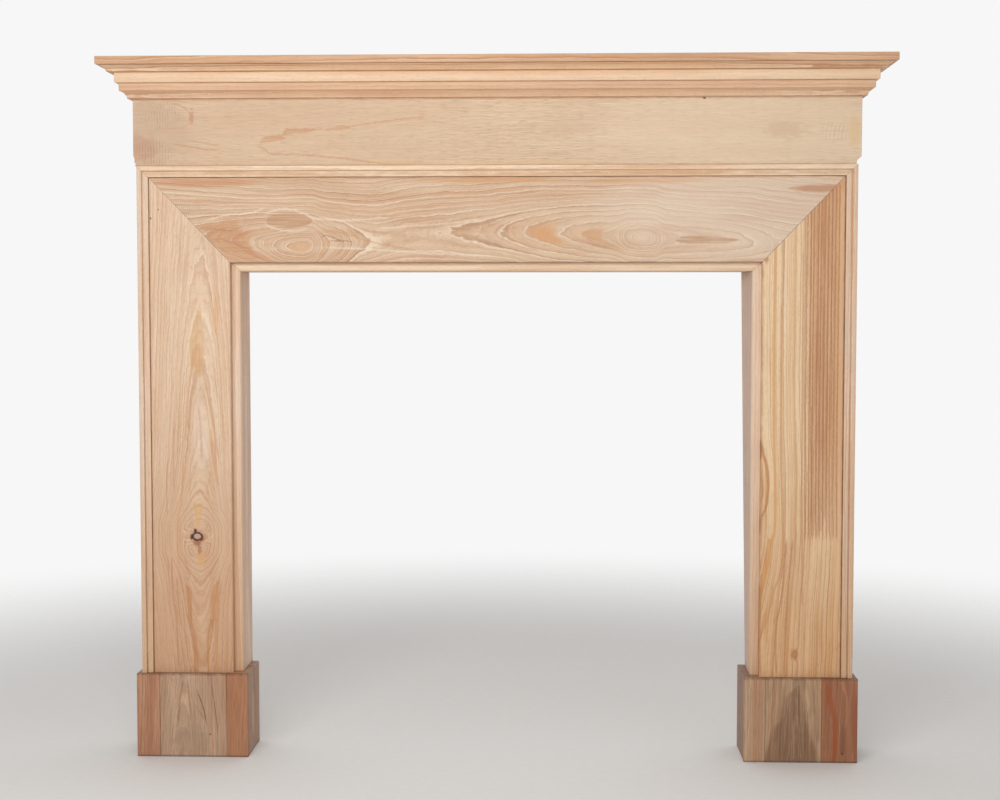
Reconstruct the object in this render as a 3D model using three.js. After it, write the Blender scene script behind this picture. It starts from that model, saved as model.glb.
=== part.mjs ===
// Fireplace mantelpiece in unfinished pine: a mitred surround under a plain frieze and a cornice shelf.
// Millimetres, +Z up. The front faces -Y, the wall side is +Y and the floor is z = 0.
import * as THREE from 'three';

// Driving sizes, read from the photograph with the shelf taken as 60 inches long
const SHELF_LENGTH = 1524;
const SHELF_THICK = 15;
const OPENING_WIDTH = 1000;
const OPENING_HEIGHT = 957;
const FRIEZE_HALF = 704;
const FRIEZE_SHOWS = 130;

// Widths across the surround, counted outwards from the edge of the opening
const BEAD_SHOWS = 17;
const LEG_SHOWS = 158;
const HEAD_SHOWS = 165;
const BAND_SHOWS = 22;

// Distances forward from the wall
const CASING_FACE = 114;
const FRIEZE_FACE = 116;
const BAND_FACE = 122;

// Board stock and the gap that is left at every joint
const BOARD = 18;
const THIN_BOARD = 13;
const JOINT = 0.3;

// Plinth: height, and how its two faces are glued up, from the outer edge inwards
const PLINTH_HEIGHT = 165;
const PLINTH_LEFT_STRIPS = [46, 132];
const PLINTH_RIGHT_STRIPS = [70, 109];

// Cornice layers from the bottom up: height, and reach beyond the frieze
const BED = { height: 28, soffit: 9, coveTop: 20, reach: 21.5, fillet: 14.5, step: 2.5 };
const FASCIA = { height: 20, reach: 28.5, round: 2 };
const COVE = { height: 11.5, soffit: 41, coveTop: 49, reach: 50, fillet: 2, step: 2.5 };

// Backband profile: the low strip beside the casing, a narrow sinking, and the tall outer strip
const REBATE_DEPTH = 8;
const SHADOW_GAP = 0.8;
const BAND_LOW = 12;
const BAND_LOW_WIDTH = 10.3;
const BAND_SINK = 9.5;
const BAND_SINK_WIDTH = 1.8;

// The right jamb stands off plumb: how far its wall edge is shifted at the foot and at the top
const JAMB_SHIFT_FOOT = 2;
const JAMB_SHIFT_TOP = -11.5;

// Bead moulding round the opening
const BEAD_THICK = 12.3;
const BEAD_TUCK = 5;
const BEAD_ROUND = 6;

const ARRIS = 1.2;
const ARC_STEPS = 6;

// Sizes that follow from the ones above
const OPENING_HALF = OPENING_WIDTH / 2;
const CASING_EDGE = BEAD_SHOWS + LEG_SHOWS;
const HEAD_RISE = HEAD_SHOWS - LEG_SHOWS;
const BAND_EDGE = CASING_EDGE + BAND_SHOWS;
const SIDE_FACE = BAND_EDGE - 3;
const CASING_BACK = CASING_FACE - BOARD + JOINT;
const FRIEZE_FOOT = OPENING_HEIGHT + BAND_EDGE + HEAD_RISE;
const CORNICE_FOOT = FRIEZE_FOOT + FRIEZE_SHOWS;
const SHELF_FOOT = CORNICE_FOOT + BED.height + FASCIA.height + COVE.height;
const SHELF_REACH = SHELF_LENGTH / 2 - FRIEZE_HALF;
const SHELF_DEPTH = FRIEZE_FACE + SHELF_REACH;
const SIDE_HALF = OPENING_HALF + SIDE_FACE;
const LIP = FRIEZE_HALF - SIDE_HALF;
const WALL_Y = SHELF_DEPTH / 2;
const LEG_FOOT = PLINTH_HEIGHT + JOINT;

// Half of a joint, measured along a run whose end is mitred at 45 degrees
const MITRE_EASE = (JOINT / 2) * Math.SQRT2;

// Colours as they look in the photograph
const TONES = {
  shelf: '#d2a27c',
  cove: '#c99a70',
  fascia: '#e4c198',
  bed: '#d8b08b',
  frieze: '#d6b791',
  band: '#dfbe98',
  head: '#dab590',
  leg: '#e0c09a',
  legDark: '#d5ab7d',
  bead: '#e4c8a3',
  jamb: '#b8977a',
  side: '#d0ad86',
  plinth: '#b58f6c',
  plinthRed: '#a9745a',
};

const WOOD_ROUGHNESS = 0.72;

const mantel = new THREE.Group();
mantel.name = 'mantelpiece';

// One board or moulding as a named mesh with its own material
function addPiece(name, geometry, tone) {
  const material = new THREE.MeshStandardMaterial({
    color: tone,
    roughness: WOOD_ROUGHNESS,
    metalness: 0,
  });
  const mesh = new THREE.Mesh(geometry, material);
  mesh.name = name;
  mantel.add(mesh);
  return mesh;
}

// A straight board: x from lo to hi, t is the distance forward from the wall, z the height
function addBoard(name, [xLo, xHi], [tLo, tHi], [zLo, zHi], tone) {
  const box = new THREE.BoxGeometry(xHi - xLo, tHi - tLo, zHi - zLo);
  const mesh = addPiece(name, box, tone);
  mesh.position.set((xLo + xHi) / 2, WALL_Y - (tLo + tHi) / 2, (zLo + zHi) / 2);
  return mesh;
}

// Twist a board: its wall edge moves sideways by one distance at the foot and another at the top
function twistBoard(mesh, shiftFoot, shiftTop) {
  const points = mesh.geometry.attributes.position;
  for (let i = 0; i < points.count; i += 1) {
    if (points.getY(i) > 0) {
      const shift = points.getZ(i) > 0 ? shiftTop : shiftFoot;
      points.setX(i, points.getX(i) + shift);
    }
  }
  mesh.geometry.computeVertexNormals();
}

// A profile run out along local Z. Each end is cut at z = slope * x, so slope 0 is square
// and slope 1 or -1 is a mitre.
function runProfile(shape, length, startSlope, endSlope) {
  const geometry = new THREE.ExtrudeGeometry(shape, {
    depth: 1,
    bevelEnabled: false,
    curveSegments: ARC_STEPS,
  });
  const points = geometry.attributes.position;
  for (let i = 0; i < points.count; i += 1) {
    const across = points.getX(i);
    const atEnd = points.getZ(i) > 0.5;
    const along = atEnd ? length + endSlope * across : startSlope * across;
    points.setZ(i, along);
  }
  geometry.computeVertexNormals();
  return geometry;
}

// Turn local X (across) and Y (thickness) to two world directions; the run follows from them
function aimPiece(mesh, across, thickness, start) {
  const along = new THREE.Vector3().crossVectors(across, thickness);
  const basis = new THREE.Matrix4().makeBasis(across, thickness, along);
  mesh.quaternion.setFromRotationMatrix(basis);
  mesh.position.copy(start);
  return mesh;
}

const RIGHT = new THREE.Vector3(1, 0, 0);
const LEFT = new THREE.Vector3(-1, 0, 0);
const FORWARD = new THREE.Vector3(0, -1, 0);
const UP = new THREE.Vector3(0, 0, 1);

// One moulding up the left leg, over the opening and down the right leg, mitred at both corners.
// Profile x is counted outwards from the edge of the opening, y forward from the wall. The mitre
// lies at height = offset + slope * x above the opening, x being the distance out along the leg.
function addSurround(label, shapeOf, mitre, tones) {
  const { slope, offset } = mitre;
  const rise = OPENING_HEIGHT - LEG_FOOT + offset - MITRE_EASE;
  const legShape = shapeOf(0);
  const left = addPiece(`${label}_left`, runProfile(legShape, rise, 0, slope), tones.left);
  aimPiece(left, LEFT, FORWARD, new THREE.Vector3(-OPENING_HALF, WALL_Y, LEG_FOOT));
  const right = addPiece(`${label}_right`, runProfile(legShape, rise, -slope, 0), tones.right);
  aimPiece(right, RIGHT, FORWARD, new THREE.Vector3(OPENING_HALF, WALL_Y, LEG_FOOT + rise));
  const reach = OPENING_HALF - offset / slope - MITRE_EASE;
  const headGeometry = runProfile(shapeOf(HEAD_RISE), 2 * reach, -1 / slope, 1 / slope);
  const head = addPiece(`${label}_head`, headGeometry, tones.head);
  aimPiece(head, UP, FORWARD, new THREE.Vector3(-reach, WALL_Y, OPENING_HEIGHT));
}

// One cornice layer: a front length and a return at each end. Profile x is the reach beyond
// the frieze, y the height. The returns reach in to the side boards behind the frieze's ends.
function addCornice(label, shapeOf, foot, tone) {
  const frontSpan = 2 * FRIEZE_HALF - 2 * MITRE_EASE;
  const front = addPiece(`${label}_front`, runProfile(shapeOf(JOINT), frontSpan, -1, 1), tone);
  const faceY = WALL_Y - FRIEZE_FACE;
  aimPiece(front, FORWARD, UP, new THREE.Vector3(FRIEZE_HALF - MITRE_EASE, faceY, foot));
  const returnShape = shapeOf(JOINT - LIP);
  const depth = FRIEZE_FACE - MITRE_EASE;
  const left = addPiece(`${label}_left`, runProfile(returnShape, depth, -1, 0), tone);
  aimPiece(left, LEFT, UP, new THREE.Vector3(-FRIEZE_HALF, faceY + MITRE_EASE, foot));
  const right = addPiece(`${label}_right`, runProfile(returnShape, depth, 0, 1), tone);
  aimPiece(right, RIGHT, UP, new THREE.Vector3(FRIEZE_HALF, WALL_Y, foot));
}

// Cornice layer with a plain fillet over a hollow, over a flat soffit
function coveProfile(inner, layer) {
  const top = layer.height - JOINT;
  const coveFoot = layer.step;
  const filletFoot = layer.height - layer.fillet;
  const shape = new THREE.Shape();
  shape.moveTo(inner, 0);
  shape.lineTo(layer.soffit, 0);
  shape.lineTo(layer.soffit, coveFoot);
  const run = layer.coveTop - layer.soffit;
  const climb = filletFoot - coveFoot;
  shape.quadraticCurveTo(
    layer.soffit + run * 0.28,
    coveFoot + climb * 0.72,
    layer.coveTop,
    filletFoot,
  );
  shape.lineTo(layer.reach, filletFoot);
  shape.lineTo(layer.reach, top);
  shape.lineTo(inner, top);
  return shape;
}

// Square fascia with its lower edge eased
function fasciaProfile(inner) {
  const top = FASCIA.height - JOINT;
  const shape = new THREE.Shape();
  shape.moveTo(inner, 0);
  shape.lineTo(FASCIA.reach - FASCIA.round, 0);
  shape.absarc(FASCIA.reach - FASCIA.round, FASCIA.round, FASCIA.round, -Math.PI / 2, 0, false);
  shape.lineTo(FASCIA.reach, top);
  shape.lineTo(inner, top);
  return shape;
}

// Wide casing board with a rebate along its outer edge for the backband. The head is wider than
// the legs by the amount that is passed in.
function casingProfile(wider) {
  const edge = CASING_EDGE + wider;
  const shape = new THREE.Shape();
  shape.moveTo(BEAD_SHOWS, CASING_BACK);
  shape.lineTo(SIDE_FACE + wider, CASING_BACK);
  shape.lineTo(SIDE_FACE + wider, CASING_FACE - REBATE_DEPTH);
  shape.lineTo(edge, CASING_FACE - REBATE_DEPTH);
  shape.absarc(edge - ARRIS, CASING_FACE - ARRIS, ARRIS, 0, Math.PI / 2, false);
  shape.absarc(BEAD_SHOWS + ARRIS, CASING_FACE - ARRIS, ARRIS, Math.PI / 2, Math.PI, false);
  return shape;
}

// Two-step moulding that sits in the casing's rebate and stands proud of it
function bandProfile(wider) {
  const base = CASING_FACE - REBATE_DEPTH + JOINT;
  const low = base + BAND_LOW;
  const sink = base + BAND_SINK;
  const inner = CASING_EDGE + SHADOW_GAP + wider;
  const outer = BAND_EDGE + wider;
  const lowEdge = inner + BAND_LOW_WIDTH;
  const tallEdge = lowEdge + BAND_SINK_WIDTH;
  const shape = new THREE.Shape();
  shape.moveTo(inner, base);
  shape.lineTo(outer, base);
  shape.absarc(outer - ARRIS, BAND_FACE - ARRIS, ARRIS, 0, Math.PI / 2, false);
  shape.absarc(tallEdge + ARRIS, BAND_FACE - ARRIS, ARRIS, Math.PI / 2, Math.PI, false);
  shape.lineTo(tallEdge, sink);
  shape.lineTo(lowEdge, sink);
  shape.absarc(lowEdge - ARRIS, low - ARRIS, ARRIS, 0, Math.PI / 2, false);
  shape.absarc(inner + ARRIS, low - ARRIS, ARRIS, Math.PI / 2, Math.PI, false);
  return shape;
}

// Bead round the opening: tucked behind the casing, its inner edge rounded over
function beadProfile() {
  const face = CASING_BACK - JOINT;
  const back = face - BEAD_THICK;
  const outer = BEAD_SHOWS + BEAD_TUCK;
  const shape = new THREE.Shape();
  shape.moveTo(0, back);
  shape.lineTo(outer, back);
  shape.lineTo(outer, face);
  shape.lineTo(BEAD_ROUND, face);
  shape.absarc(BEAD_ROUND, face - BEAD_ROUND, BEAD_ROUND, Math.PI / 2, Math.PI, false);
  return shape;
}

// Frieze board seen from the front. Behind the cornice it is narrower, so that the returns
// can pass. The lower right corner is chipped off and the lower left one is ragged.
const CHIP = [[0, 15], [-8.5, 7.5], [-9.5, 0]];
const RAGGED = [[3.5, 0], [4, 4], [1.6, 8], [2.6, 12], [0, 21]];

function addFrieze() {
  const foot = FRIEZE_FOOT + JOINT;
  const shoulder = CORNICE_FOOT - JOINT;
  const top = SHELF_FOOT - JOINT;
  const shape = new THREE.Shape();
  shape.moveTo(-SIDE_HALF, top);
  shape.lineTo(-SIDE_HALF, shoulder);
  shape.lineTo(-FRIEZE_HALF, shoulder);
  [...RAGGED].reverse().forEach(([x, z]) => shape.lineTo(-FRIEZE_HALF + x, foot + z));
  [...CHIP].reverse().forEach(([x, z]) => shape.lineTo(FRIEZE_HALF + x, foot + z));
  shape.lineTo(FRIEZE_HALF, shoulder);
  shape.lineTo(SIDE_HALF, shoulder);
  shape.lineTo(SIDE_HALF, top);
  const thick = FRIEZE_FACE - CASING_BACK;
  const board = new THREE.ExtrudeGeometry(shape, { depth: thick, bevelEnabled: false });
  const mesh = addPiece('frieze', board, TONES.frieze);
  mesh.rotation.x = Math.PI / 2;
  mesh.position.y = WALL_Y - CASING_BACK;
}

// Shelf board: square back edge, the other top and bottom edges eased
function addShelf() {
  const top = SHELF_THICK;
  const half = SHELF_LENGTH / 2;
  const shape = new THREE.Shape();
  shape.moveTo(0, 0);
  shape.lineTo(SHELF_DEPTH - ARRIS, 0);
  shape.absarc(SHELF_DEPTH - ARRIS, ARRIS, ARRIS, -Math.PI / 2, 0, false);
  shape.absarc(SHELF_DEPTH - ARRIS, top - ARRIS, ARRIS, 0, Math.PI / 2, false);
  shape.lineTo(0, top);
  const mesh = addPiece('shelf', runProfile(shape, SHELF_LENGTH, 0, 0), TONES.shelf);
  aimPiece(mesh, FORWARD, UP, new THREE.Vector3(half, WALL_Y, SHELF_FOOT));
}

// Boards that line the opening and close the outer sides of the legs
function addLinings() {
  const jambFront = CASING_BACK - JOINT - BEAD_THICK - JOINT;
  const jambTop = OPENING_HEIGHT - JOINT;
  const sideFront = CASING_BACK - JOINT;
  const sideTop = SHELF_FOOT - JOINT;
  const lining = OPENING_HALF + BOARD;
  const jambZ = [LEG_FOOT, jambTop];
  addBoard('jamb_left', [-lining, -OPENING_HALF], [0, jambFront], jambZ, TONES.jamb);
  const right = addBoard('jamb_right', [OPENING_HALF, lining], [0, jambFront], jambZ, TONES.jamb);
  twistBoard(right, JAMB_SHIFT_FOOT, JAMB_SHIFT_TOP);
  const soffitZ = [OPENING_HEIGHT, OPENING_HEIGHT + BOARD];
  addBoard('soffit', [-lining, lining], [0, jambFront], soffitZ, TONES.jamb);
  const inner = SIDE_HALF - BOARD;
  addBoard('side_left', [-SIDE_HALF, -inner], [0, sideFront], [LEG_FOOT, sideTop], TONES.side);
  addBoard('side_right', [inner, SIDE_HALF], [0, sideFront], [LEG_FOOT, sideTop], TONES.side);
}

// One plinth box: a face glued up from three strips, an inner and an outer cheek, and the
// board that carries the leg. Distances run from the outer cheek inwards on both sides.
function addPlinth(side, direction, widths, tones) {
  const outer = SIDE_HALF + THIN_BOARD;
  const inner = OPENING_HALF - THIN_BOARD;
  const along = (from, to) => (direction < 0 ? [-from, -to] : [to, from]);
  const faceT = [CASING_FACE + JOINT, CASING_FACE + JOINT + THIN_BOARD];
  const cheekT = [0, CASING_FACE];
  const height = [0, PLINTH_HEIGHT];
  const names = ['a', 'b', 'c'];
  const widthsAll = [...widths, outer - inner - widths[0] - widths[1]];
  let edge = outer;
  widthsAll.forEach((width, i) => {
    const ease = i < 2 ? JOINT : 0;
    const xs = along(edge, edge - width + ease);
    addBoard(`plinth_${side}_face_${names[i]}`, xs, faceT, height, tones[i]);
    edge -= width;
  });
  addBoard(`plinth_${side}_outer`, along(outer, SIDE_HALF), cheekT, height, TONES.plinth);
  addBoard(`plinth_${side}_inner`, along(OPENING_HALF, inner), cheekT, height, TONES.plinth);
  const bed = along(SIDE_HALF - JOINT, OPENING_HALF + JOINT);
  addBoard(`plinth_${side}_top`, bed, cheekT, [PLINTH_HEIGHT - BOARD, PLINTH_HEIGHT], TONES.plinth);
}

addPlinth('left', -1, PLINTH_LEFT_STRIPS, [TONES.plinthRed, TONES.plinth, TONES.plinthRed]);
addPlinth('right', 1, PLINTH_RIGHT_STRIPS, [TONES.plinthRed, TONES.plinth, TONES.plinth]);
addLinings();
const beadTones = { left: TONES.bead, head: TONES.bead, right: TONES.bead };
addSurround('bead', beadProfile, { slope: 1, offset: 0 }, beadTones);
const casingSlope = HEAD_SHOWS / LEG_SHOWS;
const casingMitre = { slope: casingSlope, offset: BEAD_SHOWS * (1 - casingSlope) };
const casingTones = { left: TONES.leg, head: TONES.head, right: TONES.legDark };
addSurround('casing', casingProfile, casingMitre, casingTones);
const bandTones = { left: TONES.band, head: TONES.band, right: TONES.band };
addSurround('band', bandProfile, { slope: 1, offset: HEAD_RISE }, bandTones);
addFrieze();
addCornice('bed', (inner) => coveProfile(inner, BED), CORNICE_FOOT, TONES.bed);
addCornice('fascia', fasciaProfile, CORNICE_FOOT + BED.height, TONES.fascia);
const coveFoot = CORNICE_FOOT + BED.height + FASCIA.height;
addCornice('cove', (inner) => coveProfile(inner, COVE), coveFoot, TONES.cove);
addShelf();

export default mantel;
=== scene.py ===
"""A stripped pine fireplace mantelpiece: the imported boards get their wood, worn arrises and marks."""

import logging
from dataclasses import dataclass, field, replace
from enum import Enum
from math import radians

import bpy
from bpy.types import Light, Material, Node, NodeSocket, NodeTree, Object
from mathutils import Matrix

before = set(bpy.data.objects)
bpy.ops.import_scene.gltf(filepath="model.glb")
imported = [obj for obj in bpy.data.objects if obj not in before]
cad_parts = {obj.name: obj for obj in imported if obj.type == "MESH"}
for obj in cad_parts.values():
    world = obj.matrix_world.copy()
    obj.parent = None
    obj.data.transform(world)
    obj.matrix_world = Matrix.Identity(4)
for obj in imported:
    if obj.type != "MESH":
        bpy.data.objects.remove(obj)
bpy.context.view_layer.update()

LOG = logging.getLogger("mantelpiece")

# Sizes in mm, as in the source of the part
MM_PER_METRE = 1000.0
PLINTH_HEIGHT = 165.0
HEAD_FOOT = 974.0
HEAD_TOP = 1139.0
CASING_EDGE = 675.0
BEAD_EDGE = 517.0
FRIEZE_END = 704.0

# A growth ring: where its summer line ends in the year, and how many faint lines each year has
YEAR_END = 0.93
FAINT_LINES = 2.83

# How the arrises are softened and how high the grain stands, in metres and radians
WELD_GAP = 0.00001
FLAT_ANGLE = radians(1)
ARRIS_ANGLE = radians(40)
GRAIN_RELIEF = 0.0005

Point = tuple[float, float]
Line = tuple[Point, ...]


def linear(hex_colour: str) -> tuple[float, float, float, float]:
    """Turns an sRGB hex colour into linear light.

    Args:
        hex_colour: six hex digits after a hash.

    Returns:
        Red, green, blue and a full alpha.
    """
    levels = [int(hex_colour[i : i + 2], 16) / 255 for i in (1, 3, 5)]
    light = [c / 12.92 if c <= 0.04045 else ((c + 0.055) / 1.055) ** 2.4 for c in levels]
    return (*light, 1.0)


class Lay(Enum):
    """How a board lies: the axes along its grain, across it, and into it from its show face, with a sign."""

    RAIL = (0, 2, 1, 1)
    STILE = (2, 0, 1, 1)
    CHEEK_IN = (2, 1, 0, 1)
    CHEEK_OUT = (2, 1, 0, -1)
    RETURN_IN = (1, 2, 0, 1)
    RETURN_OUT = (1, 2, 0, -1)
    DECK = (0, 1, 2, -1)
    UNDER = (0, 1, 2, 1)


@dataclass
class Graph:
    """A node tree that is filled one node at a time."""

    tree: NodeTree

    def add(self, kind: str, links: dict | None = None, **settings: object) -> Node:
        """Adds a node.

        Args:
            kind: the shader node's type without its prefix.
            links: what each input gets, by name or place: a node, a socket or a value.
            settings: the node's own properties.

        Returns:
            The new node.
        """
        node = self.tree.nodes.new("ShaderNode" + kind)
        for key, value in settings.items():
            setattr(node, key, value)
        for key, value in (links or {}).items():
            source = value.outputs[0] if isinstance(value, Node) else value
            if isinstance(source, NodeSocket):
                self.tree.links.new(source, node.inputs[key])
            else:
                node.inputs[key].default_value = source
        return node

    def trace(self, along: Node | NodeSocket, points: Line, pointed_below: float = -9000.0) -> Node:
        """Reads a smooth line that runs through given points.

        Args:
            along: the position along the line, in mm.
            points: pairs of position and value, in mm, from low to high.
            pointed_below: the line keeps a sharp point where its value is lower than this, in mm.

        Returns:
            A node that gives the line's value, held past both ends.
        """
        low, high = points[0][0], points[-1][0]
        values = [p[1] for p in points]
        base, span = min(values), max(max(values) - min(values), 1e-6)
        share = self.add("MapRange", {"Value": along, "From Min": low, "From Max": high})
        curve = self.add("FloatCurve", {"Value": share})
        knots = curve.mapping.curves[0].points
        places = [((p[0] - low) / (high - low), (p[1] - base) / span) for p in points]
        knots[0].location, knots[1].location = places[0], places[-1]
        for place in places[1:-1]:
            knots.new(*place)
        for knot, (_, value) in zip(knots, points):
            knot.handle_type = "VECTOR" if value < pointed_below else "AUTO_CLAMPED"
        curve.mapping.update()
        return self.add("Math", {0: curve, 1: span, 2: base}, operation="MULTIPLY_ADD")

    def cloud(self, place: Node, grain: tuple[float, float, float], seed: float, detail: float = 1.0) -> Node:
        """Spreads a noise whose cells have a real size.

        Args:
            place: the position in the board, in mm.
            grain: the size of a cell along, across and into the board, in mm.
            seed: moves the noise, so that no two boards match.
            detail: how much finer noise rides on it.

        Returns:
            A node that gives the noise, about one half on average.
        """
        scale = tuple(1 / g for g in grain)
        shift = (seed, seed * 1.7, seed * 0.6)
        spot = self.add("VectorMath", {0: place, 1: scale, 2: shift}, operation="MULTIPLY_ADD")
        return self.add("TexNoise", {"Vector": spot, "Scale": 1.0, "Detail": detail, "Roughness": 0.55})

    def math(self, kind: str, *values: object) -> Node:
        """Adds a node that works out one number.

        Args:
            kind: what it does, as Blender names it.
            values: its inputs in order: nodes, sockets or numbers.

        Returns:
            The new node.
        """
        return self.add("Math", dict(enumerate(values)), operation=kind)

    def away(self, place: Node, at: Point, size: Point) -> NodeSocket:
        """Gives the distance from a place, which is one on an oval round it.

        Args:
            place: the position in the board, in mm.
            at: the oval's centre along and across, in mm.
            size: its half sizes, in mm.

        Returns:
            The distance's socket.
        """
        scale = (1 / size[0], 1 / size[1], 0.0)
        shift = (-at[0] / size[0], -at[1] / size[1], 0.0)
        spot = self.add("VectorMath", {0: place, 1: scale, 2: shift}, operation="MULTIPLY_ADD")
        return self.add("VectorMath", {0: spot}, operation="LENGTH").outputs[1]

    def fit(self, value: object, start: tuple, end: Point, smooth: bool = False) -> Node:
        """Carries a value from one range to another and holds it there.

        Args:
            value: what is carried.
            start: the range that it comes from.
            end: the range that it goes to.
            smooth: eases in and out.

        Returns:
            The node that does it.
        """
        ranges = {
            "Value": value, "From Min": start[0], "From Max": start[1], "To Min": end[0], "To Max": end[1],
        }
        return self.add("MapRange", ranges, interpolation_type="SMOOTHSTEP" if smooth else "LINEAR")

    def mix(
        self, share: Node | NodeSocket | float, under: object, over: object, blend: str = "MIX",
    ) -> NodeSocket:
        """Lays one colour over another.

        Args:
            share: how much of the upper colour shows.
            under: the lower colour.
            over: the upper colour.
            blend: how the two meet.

        Returns:
            The mixed colour's socket.
        """
        laid = self.add("Mix", {0: share, 6: under, 7: over}, data_type="RGBA", blend_type=blend)
        return laid.outputs[2]


@dataclass(frozen=True)
class Board:
    """The position inside one board, in mm, and how far it lies from the pith of the tree."""

    graph: Graph
    along: NodeSocket
    across: NodeSocket
    place: Node
    radius: Node | None = None


@dataclass(frozen=True)
class Blush:
    """A soft oval of other colour in the wood, placed by its centre and half sizes."""

    at: Point
    size: Point
    colour: str
    share: float = 0.6
    ragged: float = 0.35
    blend: str = "MIX"

    def lay(self, board: Board, under: NodeSocket) -> NodeSocket:
        """Lays the oval over a colour.

        Args:
            board: the position in the board.
            under: the colour below.

        Returns:
            The colour with the oval in it.
        """
        g = board.graph
        away = g.away(board.place, self.at, self.size)
        cell = (max(self.size[0] * 0.35, 5.0), max(self.size[1] * 0.3, 1.5), 9.0)
        torn = g.math("SUBTRACT", g.cloud(board.place, cell, self.at[0], 2.0), 0.5)
        edge = g.math("MULTIPLY_ADD", torn, self.ragged * 2, away)
        shown = g.fit(edge, (0.45, 1.05), (self.share, 0.0), True)
        return g.mix(shown, under, linear(self.colour), self.blend)


@dataclass(frozen=True)
class Growth:
    """A run of years that grew in another colour and shows so near one place, bounded by its own rings."""

    years: Point
    at: Point
    size: Point
    colour: str
    share: float = 0.7
    blend: str = "MIX"

    def lay(self, board: Board, under: NodeSocket) -> NodeSocket:
        """Lays the years over a colour.

        Args:
            board: the position in the board.
            under: the colour below.

        Returns:
            The colour with the years in it.
        """
        g = board.graph
        low, high = self.years
        starts = g.fit(board.radius, (low - 0.8, low + 2.0), (0.0, 1.0), True)
        ends = g.fit(board.radius, (high - 2.5, high + 0.6), (1.0, 0.0), True)
        near = g.fit(g.away(board.place, self.at, self.size), (0.45, 1.1), (self.share, 0.0), True)
        inside = g.math("MULTIPLY", starts, ends)
        return g.mix(g.math("MULTIPLY", inside, near), under, linear(self.colour), self.blend)


@dataclass(frozen=True)
class Tongue:
    """A tongue of other colour between two given courses along the board, streaked along its grain."""

    low: Line
    high: Line
    colour: str
    share: float = 0.7
    ragged: float = 1.5
    edge: float = 2.0
    streaked: float = 0.5
    blend: str = "MIX"

    def lay(self, board: Board, under: NodeSocket) -> NodeSocket:
        """Lays the tongue over a colour.

        Args:
            board: the position in the board.
            under: the colour below.

        Returns:
            The colour with the tongue in it.
        """
        g = board.graph
        torn = g.math("SUBTRACT", g.cloud(board.place, (16.0, 4.0, 9.0), self.high[0][1], 3.0), 0.5)
        here = g.math("MULTIPLY_ADD", torn, self.ragged * 4, board.across)
        above = g.math("SUBTRACT", here, g.trace(board.along, self.low))
        below = g.math("SUBTRACT", g.trace(board.along, self.high), here)
        first, last = self.low[0][0], self.low[-1][0]
        along = g.math("MULTIPLY_ADD", torn, 12.0, board.along)
        starts = g.math("SUBTRACT", along, first - 1.0)
        ends = g.math("SUBTRACT", last + 1.0, along)
        reach = g.math("MINIMUM", starts, ends)
        nearest = g.math("MINIMUM", g.math("MINIMUM", above, below), reach)
        inside = g.fit(nearest, (0.0, self.edge), (0.0, self.share), True)
        streak = g.cloud(board.place, (75.0, 2.4, 9.0), self.low[0][1] + 3.0, 2.0)
        shown = g.math("MULTIPLY", inside, g.fit(streak, (0.36, 0.6), (1 - self.streaked, 1.0)))
        return g.mix(shown, under, linear(self.colour), self.blend)


@dataclass(frozen=True)
class ShadeTowardsFloor:
    """Painted shade that deepens the wood's colour little by little along the board, darker towards the floor,
    where less light reaches.
    """

    start: float
    end: float
    colour: str

    def lay(self, board: Board, under: NodeSocket) -> NodeSocket:
        """Deepens a colour from nothing at the start to the full colour at the end."""
        g = board.graph
        cloud = g.math("MULTIPLY_ADD", g.cloud(board.place, (160.0, 90.0, 90.0), self.end, 2.0), 0.5, -0.25)
        share = g.math("ADD", g.fit(board.along, (self.start, self.end), (0.0, 1.0)), cloud)
        return g.mix(g.fit(share, (0.0, 1.0), (0.0, 1.0)), under, linear(self.colour), "MULTIPLY")


@dataclass(frozen=True)
class SawMarks:
    """Fine arcs that a round saw left across the board, all about one centre."""

    centre: Point
    pitch: float
    at: Point
    size: Point
    colour: str
    share: float = 0.5

    def lay(self, board: Board, under: NodeSocket) -> NodeSocket:
        """Lays the arcs over a colour.

        Args:
            board: the position in the board.
            under: the colour below.

        Returns:
            The colour with the arcs in it.
        """
        g = board.graph
        torn = g.math("MULTIPLY", g.cloud(board.place, (9.0, 12.0, 9.0), self.pitch, 2.0), 3.0)
        reach = g.math("ADD", g.away(board.place, self.centre, (1.0, 1.0)), torn)
        part = g.math("FRACT", g.math("MULTIPLY", reach, 1 / self.pitch))
        line = g.fit(part, (0.45, 0.95), (0.0, 1.0), True)
        worn = g.fit(g.cloud(board.place, (14.0, 10.0, 9.0), self.pitch + 5.0, 1.0), (0.35, 0.65), (0.1, 1.0))
        near = g.fit(g.away(board.place, self.at, self.size), (0.6, 1.05), (self.share, 0.0), True)
        return g.mix(g.math("MULTIPLY", g.math("MULTIPLY", line, worn), near), under, linear(self.colour))


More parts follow.
